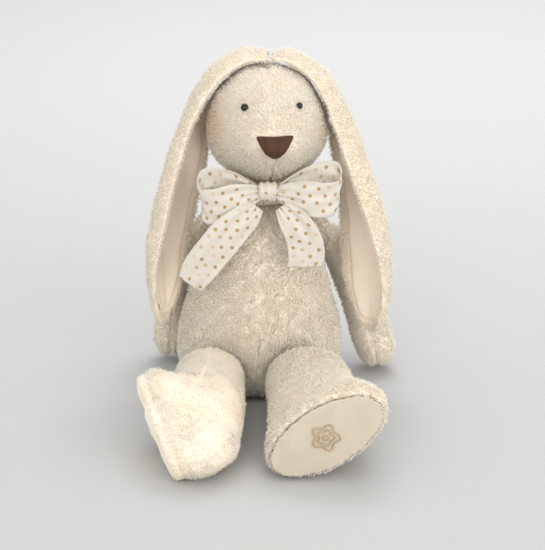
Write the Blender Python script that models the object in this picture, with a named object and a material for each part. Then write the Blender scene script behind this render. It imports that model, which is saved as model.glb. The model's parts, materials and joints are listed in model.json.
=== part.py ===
"""Seated lop-eared plush bunny with a ribbon bow at its neck.

The bunny sits on the floor plane (z = 0) and faces -Y, so its own left side is +X.
Every sewn panel is a closed shell of plush or cloth, and each stuffed part holds its
own wad of filling. Lengths below are in millimetres; the meshes are written in metres.
"""

import math

import bpy
import numpy as np
from mathutils import Matrix, Vector

# ---------------------------------------------------------------- driving dimensions
PLUSH = 3.0  # plush backing with its flattened pile
LINING = 1.3  # satin lining of the ears
RIBBON = 1.2  # ribbon, with its woven-in body
GAP = 0.36  # clearance between neighbouring pieces
SOCKET = 2.6  # room around the ball of a leg where it turns in the torso
LEG_CORE = {"left": 0.76, "right": 0.54}  # girth of a leg's filling, as a share of the leg's
SEAM = 0.40  # width of the seam line between two panels

TORSO_WIDTH, TORSO_DEPTH, TORSO_HEIGHT = 121.0, 105.0, 152.2

HEAD_CENTRE = (6.0, -5.0, 195.0)
HEAD_WIDTH, HEAD_HEIGHT = 83.0, 84.0
HEAD_FRONT, HEAD_BACK = 45.0, 42.0  # from the head's centre
SNOUT_OUT = 11.5  # how far the muzzle stands out of the face
FACE_TURN = 7.0  # the face looks this many degrees to the bunny's left
POLE_CLEAR = 0.045  # first and last head ring, as a share of the half turn from pole to pole

EAR_ROOT = (9.0, 8.0, 238.5)  # between the two ear roots, on the crown
EAR_ROOT_APART = 4.8  # each root stands this far to its side
EAR_SHELL, EAR_RIM = 4.0, 3.5  # outer panel; plush rim left free around the lining

EYE_WIDTH, EYE_APART, EYE_UP = 6.6, 37.5, 20.5
DOME = 0.9  # height of an eye bead's dome, as a share of its radius
NOSE_WIDTH, NOSE_HEIGHT, NOSE_THICK = 25.5, 16.0, 1.6
NOSE_LIFT = 1.26  # how far the nose pad's back stands off the rounded muzzle
NOSE_DROP = 2.5  # the nose's middle below the head's centre
RAY_START = 90.0  # from the head's centre to well in front of the face

HIP = {"left": (36.0, -61.0, 24.0), "right": (-34.0, -61.0, 23.5)}
SHOULDER = {"left": (48.5, 21.0, 117.0), "right": (-45.0, 21.0, 117.0)}
NECK = (4.0, -6.0, 152.0)

RIBBON_WIDTH = 25.0  # the bow's satin ribbon, which sets the scale of everything else
KNOT = (7.5, -43.5, 156.5)
KNOT_SIZE = (15.0, 10.0, 14.0)
LOOP_CLEAR = 0.66  # between the knot and the root of each loop
BAND_INNER, BAND_HEIGHT, BAND_DROP = 28.5, 13.0, 1.5

# ---------------------------------------------------------------- colours (linear)
CREAM = (0.86, 0.79, 0.66)
PEACH = (0.90, 0.70, 0.53)
VELOUR_TONE = (0.88, 0.82, 0.71)
WHITE = (0.93, 0.91, 0.87)
GOLD = (0.50, 0.33, 0.15)
COCOA = (0.11, 0.055, 0.04)
BLACK = (0.01, 0.01, 0.012)
STUFFING = (0.93, 0.93, 0.92)

MM = 0.001
CREASE = math.radians(50.0)  # edges sharper than this stay sharp in the shading
SIDES = {"left": 1.0, "right": -1.0}


# ---------------------------------------------------------------- small helpers
def material(name, colour, roughness):
    """One Principled BSDF, shared by every piece cut from the same stuff."""
    found = bpy.data.materials.get(name)
    if found:
        return found
    made = bpy.data.materials.new(name)
    made.use_nodes = True
    bsdf = made.node_tree.nodes["Principled BSDF"]
    bsdf.inputs["Base Color"].default_value = (*colour, 1.0)
    bsdf.inputs["Roughness"].default_value = roughness
    bsdf.inputs["Metallic"].default_value = 0.0
    made.diffuse_color = (*colour, 1.0)
    return made


PLUSH_LOOK = ("plush", CREAM, 0.95)
LINING_LOOK = ("lining", PEACH, 0.45)
VELOUR_LOOK = ("velour", VELOUR_TONE, 0.85)
RIBBON_LOOK = ("ribbon_satin", WHITE, 0.35)
THREAD_LOOK = ("nose_thread", COCOA, 0.6)
MOTIF_LOOK = ("motif_thread", GOLD, 0.6)
BEAD_LOOK = ("eye_bead", BLACK, 0.08)
STUFF_LOOK = ("stuffing", STUFFING, 0.9)


def solid(name, points, triangles, look, pivot=(0.0, 0.0, 0.0)):
    """One closed body, faces outward, with its origin on the given pivot."""
    points = np.asarray(points, float)
    triangles = np.asarray(triangles, int)
    a, b, c = (points[triangles[:, k]] for k in range(3))
    if np.einsum("ij,ij->i", a, np.cross(b, c)).sum() < 0:
        triangles = triangles[:, ::-1]
    mesh = bpy.data.meshes.new(name)
    local = (points - np.asarray(pivot)) * MM
    mesh.from_pydata(local.tolist(), [], triangles.tolist())
    mesh.validate()
    mesh.shade_smooth()
    mesh.set_sharp_from_angle(angle=CREASE)
    mesh.materials.append(material(*look))
    made = bpy.data.objects.new(name, mesh)
    made.location = Vector(pivot) * MM
    bpy.context.scene.collection.objects.link(made)


def unit(v):
    v = np.asarray(v, float)
    return v / np.linalg.norm(v)


def grid_triangles(rows, cols, at, wrap=False):
    """Triangles of a rows x cols grid of points numbered by at(row, col)."""
    out = []
    for j in range(rows - 1):
        for i in range(cols if wrap else cols - 1):
            k = (i + 1) % cols
            a, b, c, d = at(j, i), at(j, k), at(j + 1, k), at(j + 1, i)
            out += [(a, b, c), (a, c, d)]
    return out


def draw_in(layer, first=(0, 0), last=(0, 0)):
    """Pull the chosen border rows and columns of a grid inward by half a seam."""
    out = layer.copy()

    def pull(edge, beside):
        along = np.gradient(edge, axis=0)
        along /= np.maximum(np.linalg.norm(along, axis=-1, keepdims=True), 1e-9)
        step = beside - edge
        step -= along * (step * along).sum(axis=-1, keepdims=True)
        size = np.linalg.norm(step, axis=-1, keepdims=True)
        return edge + step / np.maximum(size, 1e-9) * np.minimum(SEAM / 2, size * 0.4)

    if first[0]:
        out[0] = pull(layer[0], layer[1])
    if last[0]:
        out[-1] = pull(layer[-1], layer[-2])
    side = out.copy()
    if first[1]:
        out[:, 0] = pull(side[:, 0], side[:, 1])
    if last[1]:
        out[:, -1] = pull(side[:, -1], side[:, -2])
    return out


def sheet_shell(outer, inner):
    """Closed shell between two open grids that match point for point."""
    rows, cols = outer.shape[:2]
    n = rows * cols
    tris = grid_triangles(rows, cols, lambda j, i: j * cols + i)
    tris += [t[::-1] for t in grid_triangles(rows, cols, lambda j, i: n + j * cols + i)]
    rim = [(0, i) for i in range(cols)]
    rim += [(j, cols - 1) for j in range(1, rows)]
    rim += [(rows - 1, i) for i in range(cols - 2, -1, -1)]
    rim += [(j, 0) for j in range(rows - 2, 0, -1)]
    ids = [j * cols + i for j, i in rim]
    for a, b in zip(ids, ids[1:] + ids[:1]):
        tris += [(b, a, n + a), (b, n + a, n + b)]
    return np.concatenate([outer.reshape(-1, 3), inner.reshape(-1, 3)]), tris


def cap_shell(outer, outer_pole, inner, inner_pole):
    """Closed shell over one end of a loft: whole rings and the pole that ends them."""
    rows, cols = outer.shape[:2]
    n = rows * cols + 1

    def side(base):
        tris = grid_triangles(rows, cols, lambda j, i: base + j * cols + i, True)
        last = base + (rows - 1) * cols
        pole = base + rows * cols
        return tris + [(last + i, last + (i + 1) % cols, pole) for i in range(cols)]

    tris = side(0) + [t[::-1] for t in side(n)]
    for i in range(cols):
        k = (i + 1) % cols
        tris += [(k, i, n + i), (k, n + i, n + k)]
    points = [outer.reshape(-1, 3), [outer_pole], inner.reshape(-1, 3), [inner_pole]]
    return np.concatenate(points), tris


def closed_skin(first, rings, last):
    """A closed body from a pole, whole rings and a second pole."""
    rows, cols = rings.shape[:2]
    tris = grid_triangles(rows, cols, lambda j, i: j * cols + i, True)
    a, b = rows * cols, rows * cols + 1
    end = (rows - 1) * cols
    tris += [((i + 1) % cols, i, a) for i in range(cols)]
    tris += [(end + i, end + (i + 1) % cols, b) for i in range(cols)]
    return np.concatenate([rings.reshape(-1, 3), [first], [last]]), tris


class Loft:
    """A stuffed body: rings between two poles, offered at any depth below its skin.

    sockets are (centre, half-axes) of neighbours that turn in a dimple of the skin.
    """

    def __init__(self, first, rings, last, sockets=()):
        self.rings = np.asarray(rings, float)
        self.poles = np.asarray([first, last], float)
        self.sockets = sockets
        points, tris = closed_skin(self.poles[0], self.rings, self.poles[1])
        tris = np.asarray(tris)
        a, b, c = (points[tris[:, k]] for k in range(3))
        face = np.cross(b - a, c - a)
        if np.einsum("ij,ij->i", a, np.cross(b, c)).sum() < 0:
            face = -face
        normal = np.zeros_like(points)
        for k in range(3):
            np.add.at(normal, tris[:, k], face)
        normal /= np.linalg.norm(normal, axis=1, keepdims=True)
        self.ring_normals = normal[:-2].reshape(self.rings.shape)
        self.pole_normals = normal[-2:]

    def _settle(self, points, depth):
        """Keep a layer off the floor and out of the sockets, in order of depth."""
        out = points.copy()
        for centre, axes in self.sockets:
            reach = np.asarray(axes) + depth
            off = (out - centre) / reach
            far = np.linalg.norm(off, axis=-1, keepdims=True)
            out = np.where(far < 1.0, centre + off / far * reach, out)
        out[..., 2] = np.maximum(out[..., 2], depth)
        return out

    def layer(self, depth):
        rings = self._settle(self.rings - self.ring_normals * depth, depth)
        poles = self._settle(self.poles - self.pole_normals * depth, depth)
        return poles[0], rings, poles[1]

    def panel(self, name, rows, cols, look, pivot, thick=PLUSH, seam_rows=(0, 0)):
        """One sewn panel: rows and columns first..last of the loft, wrapping around."""
        count = self.rings.shape[1]
        pick = [c % count for c in range(cols[0], cols[1] + 1)]
        layers = []
        for depth in (0.0, thick):
            part = self.layer(depth)[1][rows[0] : rows[1] + 1][:, pick]
            layers.append(draw_in(part, (seam_rows[0], 1), (seam_rows[1], 1)))
        solid(name, *sheet_shell(*layers), look, pivot)

    def cap(self, name, row, look, pivot, thick, at_start=False):
        """The panel that closes one end, from a row of the loft to the pole."""
        layers = []
        for depth in (0.0, thick):
            first, rings, last = self.layer(depth)
            part = rings[row::-1] if at_start else rings[row:]
            layers += [draw_in(part, (1, 0)), first if at_start else last]
        solid(name, *cap_shell(*layers), look, pivot)

    def filling(self, name, pivot):
        solid(name, *closed_skin(*self.layer(PLUSH + GAP)), STUFF_LOOK, pivot)

    def core(self, name, pivot, rows, share):
        """A plainer filling: some rings, each drawn in to a share of its own size."""
        rings = self.rings[rows[0] : rows[1]]
        middles = rings.mean(axis=1, keepdims=True)
        rings = middles + (rings - middles) * share
        ends = middles[0, 0], middles[-1, 0]
        solid(name, *closed_skin(ends[0], rings, ends[1]), STUFF_LOOK, pivot)


def ring(centre, across, up, count):
    """An ellipse through centre +- across and centre +- up, count points."""
    angles = 2 * math.pi * np.arange(count) / count
    across, up = np.asarray(across, float), np.asarray(up, float)
    return (
        np.asarray(centre, float)
        + np.cos(angles)[:, None] * across
        + np.sin(angles)[:, None] * up
    )


# ---------------------------------------------------------------- torso
def build_torso():
    """Pear-shaped body: four plush panels on a flat seat panel."""
    count = 32
    half = np.array([TORSO_WIDTH, TORSO_DEPTH]) / 2
    # share of the height, share of the half width and depth, forward lean
    profile = [
        (0.000, 0.40, 0.40, 0.0),
        (0.000, 0.762, 0.762, 0.0),
        (0.022, 0.885, 0.885, 0.0),
        (0.085, 0.980, 0.985, 0.0),
        (0.155, 1.000, 1.000, 0.0),
        (0.240, 0.995, 0.998, 0.0),
        (0.330, 0.950, 0.965, -0.5),
        (0.430, 0.880, 0.915, -1.0),
        (0.530, 0.810, 0.855, -2.0),
        (0.630, 0.740, 0.790, -3.0),
        (0.730, 0.660, 0.720, -4.0),
        (0.820, 0.560, 0.640, -5.0),
        (0.900, 0.440, 0.530, -6.0),
        (0.965, 0.280, 0.350, -6.0),
        (0.995, 0.110, 0.130, -6.0),
    ]
    rings = []
    for up, wide, deep, lean in profile:
        centre = (3.0 * up, lean, up * TORSO_HEIGHT)
        rings.append(ring(centre, (half[0] * wide, 0, 0), (0, half[1] * deep, 0), count))
    sockets = [(np.array(HIP[s]), LEG_BALL[s] + SOCKET) for s in SIDES]
    body = Loft((0, 0, 0), rings, (3.0, -6.0, TORSO_HEIGHT), sockets)
    top = len(rings) - 1
    quarter = count // 4
    names = ("torso_back_left", "torso_back_right", "torso_front_right", "torso_front_left")
    for k, name in enumerate(names):
        cols = (k * quarter, (k + 1) * quarter)
        body.panel(name, (1, top), cols, PLUSH_LOOK, (0, 0, 0), seam_rows=(1, 0))
    body.cap("torso_seat", 1, PLUSH_LOOK, (0, 0, 0), PLUSH, at_start=True)
    body.filling("torso_filling", (0, 0, 0))


# ---------------------------------------------------------------- head
def head_loft():
    count, rows = 32, 12
    turn = math.radians(FACE_TURN)
    rings = []
    for k in range(rows):
        tilt = math.pi * (POLE_CLEAR + (1 - 2 * POLE_CLEAR) * k / (rows - 1))
        up, round_ = -math.cos(tilt), math.sin(tilt)
        points = []
        for i in range(count):
            angle = 2 * math.pi * i / count
            x = HEAD_WIDTH / 2 * round_ * math.cos(angle)
            depth = HEAD_BACK if math.sin(angle) > 0 else HEAD_FRONT
            y = depth * round_ * math.sin(angle)
            front = max(0.0, -math.sin(angle))
            muzzle = front**5 * math.exp(-(((up + 0.12) / 0.42) ** 2))
            cheek = 1.0 + 0.05 * math.exp(-(((up + 0.35) / 0.35) ** 2))
            points.append((x * cheek, y - SNOUT_OUT * muzzle, HEAD_HEIGHT / 2 * up))
        points = np.array(points)
        spun = points.copy()
        spun[:, 0] = points[:, 0] * math.cos(turn) - points[:, 1] * math.sin(turn)
        spun[:, 1] = points[:, 0] * math.sin(turn) + points[:, 1] * math.cos(turn)
        rings.append(spun + HEAD_CENTRE)
    low = np.array(HEAD_CENTRE) + (0, 0, -HEAD_HEIGHT / 2)
    high = np.array(HEAD_CENTRE) + (0, 0, HEAD_HEIGHT / 2)
    return Loft(low, rings, high)


def on_skin(body, origin, toward):
    """First point of a loft's skin met by a ray, with that face's outward normal."""
    first, rings, last = body.layer(0.0)
    points, tris = closed_skin(first, rings, last)
    origin, toward = np.asarray(origin, float), unit(toward)
    best = None
    for a, b, c in points[np.asarray(tris)]:
        normal = np.cross(b - a, c - a)
        size = np.linalg.norm(normal)
        if size < 1e-9:
            continue
        normal /= size
        slope = normal @ toward
        if abs(slope) < 1e-6:
            continue
        reach = normal @ (a - origin) / slope
        hit = origin + reach * toward
        inside = all(
            np.dot(np.cross(q - p, hit - p), normal) >= -1e-9
            for p, q in ((a, b), (b, c), (c, a))
        )
        if inside and reach > 0 and (best is None or reach < best[0]):
            best = (reach, hit, normal if slope < 0 else -normal)
    return best[1], best[2]


def build_head():
    """Two face panels and a back gusset, with bead eyes and a stitched nose."""
    body = head_loft()
    rows = (0, body.rings.shape[0] - 1)
    body.panel("head_back", rows, (0, 16), PLUSH_LOOK, NECK)
    body.panel("face_right", rows, (16, 24), PLUSH_LOOK, NECK)
    body.panel("face_left", rows, (24, 32), PLUSH_LOOK, NECK)
    body.filling("head_filling", NECK)
    turn = math.radians(FACE_TURN)
    ahead = np.array([math.sin(turn), -math.cos(turn), 0.0])
    aside = np.array([math.cos(turn), math.sin(turn), 0.0])
    for side, sign in SIDES.items():
        start = np.array(HEAD_CENTRE) + RAY_START * ahead + sign * EYE_APART / 2 * aside
        start[2] += EYE_UP
        hit, normal = on_skin(body, start, -ahead)
        build_eye(f"eye_{side}", hit, normal)
    build_nose(body, ahead, aside)


def build_eye(name, seat, normal):
    """A domed bead on the face, its flat back just clear of the plush."""
    u = unit(np.cross(normal, (0, 0, 1)))
    v = np.cross(normal, u)
    radius = EYE_WIDTH / 2
    # share of the radius, share of the dome height
    dome = [(0.86, 0.0), (1.0, 0.22), (0.88, 0.58), (0.52, 0.88)]
    rings = [
        ring(seat + normal * (GAP + radius * up * DOME), u * radius * r, v * radius * r, 14)
        for r, up in dome
    ]
    back = seat + normal * GAP
    front = seat + normal * (GAP + radius * DOME)
    solid(name, *closed_skin(back, np.array(rings), front), BEAD_LOOK, NECK)


def build_nose(body, ahead, aside):
    """Satin-stitch nose: a thin pad that follows the muzzle."""
    rows, cols = 7, 11
    layers = []
    centre = np.array(HEAD_CENTRE) + (0, 0, -NOSE_DROP)
    spots = []
    for j in range(rows):
        down = j / (rows - 1)  # 0 at the flat top edge, 1 at the rounded bottom
        half = NOSE_WIDTH / 2 * (1.0 - 0.80 * max(0.0, down - 0.12) ** 2.0 * 1.25)
        for i in range(cols):
            across = (2 * i / (cols - 1) - 1) * half
            lift = NOSE_HEIGHT * (0.5 - down)
            start = centre + RAY_START * ahead + across * aside + (0, 0, lift)
            spots.append(on_skin(body, start, -ahead)[0])
    spots = np.array(spots).reshape(rows, cols, 3)
    for lift in (NOSE_LIFT + NOSE_THICK, NOSE_LIFT):
        layers.append(spots + ahead * lift)
    solid("nose", *sheet_shell(*layers), THREAD_LOOK, NECK)


# ---------------------------------------------------------------- ears
def ear_rows(side):
    """Stations down one ear: front edge, rear edge, how far the back bulges, which way.

    The ear starts level on the crown, folds over the temple and hangs beside the body.
    """
    x, y, z = EAR_ROOT
    if side == "left":
        x += EAR_ROOT_APART
        return [
            ((x, y - 13, z), (x, y + 13, z), 0.5, (0, 0, 1)),
            ((x + 5, y - 16, z), (x + 5, y + 15, z), 1, (0, 0, 1)),
            ((26, -10, 235), (26, 24, 235), 2.5, (0.15, 0, 1)),
            ((34.5, -13, 229), (34, 25, 229.5), 4.5, (0.45, 0, 0.9)),
            ((41.5, -16, 220.5), (40, 24, 223), 6.5, (0.75, 0, 0.6)),
            ((47, -19, 209), (44, 21, 212), 9, (0.93, 0, 0.35)),
            ((51, -21, 196), (46.5, 18, 200), 12, (1, 0, 0.15)),
            ((57, -24, 181), (50, 13, 184), 15, (1, 0, 0.1)),
            ((62.5, -27, 164), (52, 8, 166), 17, (1, 0, 0.08)),
            ((69, -29, 147), (55, 4, 148), 18, (1, 0, 0.08)),
            ((76, -31, 128), (58, 2, 129), 18.5, (1, 0, 0.06)),
            ((82, -32, 107), (59, 1, 108), 18, (1, 0, 0.04)),
            ((86, -32, 86), (60, -1, 86), 15.5, (1, 0, 0.0)),
            ((86.5, -31, 67), (64, -4, 66), 12, (1, 0, 0.0)),
            ((84.5, -28, 53), (71, -10, 51), 7, (1, 0, 0.0)),
            ((82.5, -23, 45), (78, -17, 44), 2.5, (1, 0, 0.0)),
        ]
    x -= EAR_ROOT_APART
    return [
        ((x, y - 13, z), (x, y + 13, z), 0.5, (0, 0, 1)),
        ((x - 5, y - 16, z), (x - 5, y + 15, z), 1, (0, 0, 1)),
        ((-8.5, -10, 237.4), (-8.5, 24, 237.4), 2.3, (-0.1, 0, 1)),
        ((-17, -13, 233), (-17, 25, 233.5), 4, (-0.35, 0, 0.95)),
        ((-26.5, -16, 225), (-26, 24, 227), 5, (-0.65, 0, 0.75)),
        ((-36, -19, 212), (-31.5, 21, 215), 6.5, (-0.85, 0, 0.5)),
        ((-43, -21, 198), (-34.5, 18, 202), 8.5, (-0.95, 0, 0.3)),
        ((-48.5, -24, 183), (-35, 13, 187), 11.5, (-1, 0, 0.2)),
        ((-53.5, -27, 166), (-34, 8, 169), 15, (-1, 0, 0.15)),
        ((-58, -29, 150), (-38, 5, 152), 15.5, (-1, 0, 0.15)),
        ((-62, -31, 132), (-42.5, 3, 133), 16.5, (-1, 0, 0.15)),
        ((-66.5, -32, 112), (-47, 1, 113), 16, (-1, 0, 0.12)),
        ((-70, -32, 92), (-51, -1, 92), 13, (-1, 0, 0.1)),
        ((-71, -31, 75), (-55, -4, 74), 8.5, (-1, 0, 0.05)),
        ((-69.5, -28, 61), (-60, -10, 60), 4.5, (-1, 0, 0.0)),
        ((-67, -23, 52.5), (-64, -17, 52), 2, (-1, 0, 0.0)),
    ]


def build_ear(side):
    """Plush outer panel over a satin lining; both turn about the root on the crown."""
    rows = ear_rows(side)
    pivot = (np.array(rows[0][0]) + rows[0][1]) / 2
    cols = 9

    def spread(inset):
        out = []
        for k, (front, rear, bulge, way) in enumerate(rows):
            front, rear = np.array(front, float), np.array(rear, float)
            width = np.linalg.norm(front - rear)
            edge = 1.0 - min(0.55, 2 * inset / width)
            line = []
            for i in range(cols):
                w = (2 * i / (cols - 1) - 1) * edge
                point = (front + rear) / 2 + w * (front - rear) / 2
                line.append(point + (1 - w * w) * bulge * unit(way))
            out.append(line)
        return np.array(out)

    def normals(grid):
        down = np.gradient(grid, axis=0)
        across = np.gradient(grid, axis=1)
        n = np.cross(across, down)
        n /= np.linalg.norm(n, axis=-1, keepdims=True)
        way = np.array([unit(r[3]) for r in rows])[:, None, :]
        if (n * way).sum() < 0:
            n = -n
        return n

    plush = spread(0.0)
    solid(f"ear_{side}_outer", *sheet_shell(plush + normals(plush) * EAR_SHELL, plush),
          PLUSH_LOOK, pivot)
    satin = spread(EAR_RIM)[1:-1]
    n = normals(spread(EAR_RIM))[1:-1]
    solid(f"ear_{side}_lining",
          *sheet_shell(satin - n * GAP * 1.6, satin - n * (GAP * 1.6 + LINING)),
          LINING_LOOK, pivot)


# ---------------------------------------------------------------- arms
ARM_PATH = {
    # centre, half width, half depth, from the shoulder to the paw
    "left": [
        (SHOULDER["left"], 14.0, 14.0),
        ((56.0, 22.5, 100), 14.0, 14.0),
        ((63.5, 24.5, 82), 14.2, 14.2),
        ((70.5, 25, 64), 14.6, 15.0),
        ((77.0, 24, 47), 15.2, 16.2),
        ((83.0, 20, 31), 16.2, 17.5),
        ((87.0, 16, 17), 15.6, 17.0),
        ((88.5, 14, 7), 12.0, 13.0),
    ],
    "right": [
        (SHOULDER["right"], 14.0, 14.0),
        ((-51.5, 25, 100), 14.0, 14.0),
        ((-57.0, 30, 82), 14.0, 14.2),
        ((-61.0, 33, 64), 14.0, 15.0),
        ((-63.5, 34.5, 47), 14.2, 16.0),
        ((-65.0, 35, 31), 14.8, 17.0),
        ((-65.5, 34, 17), 14.4, 16.5),
        ((-66.0, 34, 7), 11.0, 12.5),
    ],
}


def build_arm(side):
    """A stuffed arm of two long panels; its round root turns at the shoulder."""
    count = 16
    path = ARM_PATH[side]
    hub = np.array(path[0][0], float)
    radius = path[0][1]
    down = unit(np.array(path[1][0]) - hub)
    across = unit(np.cross((0, 1, 0), down))
    across *= np.sign(across[0])
    back = np.array([0.0, 1.0, 0.0])
    rings = []
    for tilt in (20, 42, 66):
        t = math.radians(tilt)
        square = unit(back - down * (back @ down))
        rings.append(ring(hub - down * radius * math.cos(t),
                          across * radius * math.sin(t), square * radius * math.sin(t),
                          count))
    for k, (centre, wide, deep) in enumerate(path):
        ahead = np.array(path[min(k + 1, len(path) - 1)][0], float)
        behind = np.array(path[max(k - 1, 0)][0], float)
        run = unit(ahead - behind) if k else down
        square = unit(back - run * (back @ run))
        side_way = unit(np.cross(square, run))
        side_way *= np.sign(side_way[0])
        rings.append(ring(centre, side_way * wide, square * deep, count))
    tip = np.array(path[-1][0], float) + (0, 0, -path[-1][0][2] + 2.0)
    last = np.array(path[-1][0], float)
    rings.append(ring((last[0], last[1], 2.6), (6.5, 0, 0), (0, 7.0, 0), count))
    body = Loft(hub - down * radius, rings, tip)
    end = len(rings) - 1
    outer = (-4, 4) if side == "left" else (4, 12)
    inner = (4, 12) if side == "left" else (-4, 4)
    body.panel(f"arm_{side}_outer", (0, end), outer, PLUSH_LOOK, hub)
    body.panel(f"arm_{side}_inner", (0, end), inner, PLUSH_LOOK, hub)
    body.filling(f"arm_{side}_filling", hub)


# ---------------------------------------------------------------- legs
LEG_BALL = {"left": np.array([31.0, 23.5, 23.5]), "right": np.array([26.0, 23.0, 23.0])}

FOOT_TILT = 33.0  # the left foot leans outward: its long axis above the floor
PETALS, PETAL_MEAN, PETAL_SWING = 5, 8.2, 1.9  # the embroidered flower's outline
MOTIF_THICK = 0.7
TOE_RIGHT = (-0.26, 0.855, 0.444)  # heel to toe of the right foot, turned outward
SOLE_FACE_RIGHT = (-0.93, -0.20, -0.30)

LEG_PATH = {
    # centre, half width, half height, share of the turn from thigh to foot
    "left": [
        ((36.0, -61.0, 24.0), 31.0, 23.5, 0.00),
        ((37.0, -77.0, 24.0), 32.0, 23.8, 0.00),
        ((38.5, -94.0, 25.0), 32.5, 24.5, 0.10),
        ((40.5, -111.0, 26.5), 34.0, 25.0, 0.30),
        ((42.5, -128.0, 28.5), 37.5, 25.5, 0.60),
        ((44.5, -144.0, 31.0), 42.0, 26.0, 0.90),
        ((45.5, -158.0, 31.5), 45.5, 26.0, 1.00),
        ((45.5, -168.0, 31.5), 46.0, 25.5, 1.00),
        ((45.5, -172.5, 31.5), 44.5, 23.8, 1.00),
        ((45.5, -174.8, 31.5), 42.0, 21.5, 1.00),
        ((45.5, -175.4, 31.5), 34.0, 17.0, 1.00),
        ((45.5, -175.4, 31.5), 15.0, 8.0, 1.00),
    ],
    "right": [
        ((-34.0, -61.0, 23.5), 26.0, 23.0, 0.00),
        ((-34.0, -78.0, 24.0), 25.5, 23.5, 0.04),
        ((-34.5, -95.0, 25.5), 27.0, 25.0, 0.10),
        ((-36.0, -112.0, 27.5), 30.0, 26.5, 0.22),
        ((-38.5, -126.0, 29.0), 34.5, 27.5, 0.42),
        ((-41.0, -140.0, 31.0), 45.0, 28.0, 0.68),
        ((-47.0, -146.5, 31.2), 47.0, 28.0, 0.92),
        ((-55.0, -146.0, 29.4), 46.5, 27.5, 1.00),
        ((-61.5, -144.5, 25.9), 44.5, 25.5, 1.00),
        ((-65.5, -144.4, 24.6), 42.5, 23.3, 1.00),
        ((-67.0, -144.4, 24.0), 34.0, 17.5, 1.00),
        ((-67.0, -144.4, 24.0), 15.0, 8.0, 1.00),
    ],
}


def foot_frame(side):
    """Axes of a foot: toward its outer or heel side, up across it, out of the sole."""
    if side == "left":
        t = math.radians(FOOT_TILT)
        return (math.cos(t), 0, math.sin(t)), (-math.sin(t), 0, math.cos(t)), (0, -1, 0)
    out = Vector(SOLE_FACE_RIGHT).normalized()
    toe = Vector(TOE_RIGHT)
    toe = (toe - out * toe.dot(out)).normalized()
    up = (-out.cross(toe)).normalized()
    return tuple(-toe), tuple(up), tuple(out)


def frame_matrix(axes):
    return Matrix([Vector(a) for a in axes]).transposed()


def build_leg(side):
    """A stuffed leg of two long panels, closed by the sole; its ball turns at the hip."""
    count = 16
    hub = np.array(HIP[side])
    ball = LEG_BALL[side]
    thigh = frame_matrix(((1, 0, 0), (0, 0, 1), (0, -1, 0))).to_quaternion()
    foot = frame_matrix(foot_frame(side)).to_quaternion()
    rings = []
    for tilt in (14, 34, 56, 76):
        t = math.radians(tilt)
        centre = hub + (0, ball[1] * math.cos(t), 0)
        rings.append(ring(centre, (ball[0] * math.sin(t), 0, 0),
                          (0, 0, ball[2] * math.sin(t)), count))
    for centre, wide, high, share in LEG_PATH[side]:
        pose = thigh.slerp(foot, share).to_matrix()
        rings.append(ring(centre, np.array(pose.col[0]) * wide,
                          np.array(pose.col[1]) * high, count))
    body = Loft(hub + (0, ball[1], 0), rings, LEG_PATH[side][-1][0])
    sole = len(rings) - 3
    outer = (-4, 4) if side == "left" else (4, 12)
    inner = (4, 12) if side == "left" else (-4, 4)
    body.panel(f"leg_{side}_outer", (0, sole), outer, PLUSH_LOOK, hub, seam_rows=(0, 1))
    body.panel(f"leg_{side}_inner", (0, sole), inner, PLUSH_LOOK, hub, seam_rows=(0, 1))
    body.cap(f"sole_{side}", sole, VELOUR_LOOK, hub, PLUSH)
    body.core(f"leg_{side}_filling", hub, (3, sole - 3), LEG_CORE[side])


def build_motif():
    """A plain five-petal flower, embroidered on the left sole."""
    across, up, out = (np.array(a) for a in foot_frame("left"))
    middle = np.array(LEG_PATH["left"][-1][0]) + out * GAP
    count = 40
    loops = []
    for lift in (0.0, MOTIF_THICK):
        line = []
        for i in range(count):
            angle = 2 * math.pi * i / count
            reach = PETAL_MEAN + PETAL_SWING * math.cos(PETALS * angle)
            line.append(middle + out * lift + reach * (
                math.cos(angle) * across + math.sin(angle) * up))
        loops.append(line)
    points, tris = closed_skin(middle, np.array(loops), middle + out * MOTIF_THICK)
    solid("sole_motif_left", points, tris, MOTIF_LOOK, HIP["left"])


# ---------------------------------------------------------------- ribbon
def strip(name, path, half_ways, pivot=(0, 0, 0), thick=RIBBON):
    """A ribbon strip: a centre path, and at each point the half-width vector."""
    path, half_ways = np.array(path, float), np.array(half_ways, float)
    run = np.gradient(path, axis=0)
    face = np.cross(run, half_ways)
    face /= np.linalg.norm(face, axis=1, keepdims=True)
    layers = []
    for k in (0.5, -0.5):
        layers.append(np.stack([path + half_ways * w + face * thick * k
                                for w in (-1.0, -0.33, 0.33, 1.0)], axis=1))
    solid(name, *sheet_shell(*layers), RIBBON_LOOK, pivot)


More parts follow.
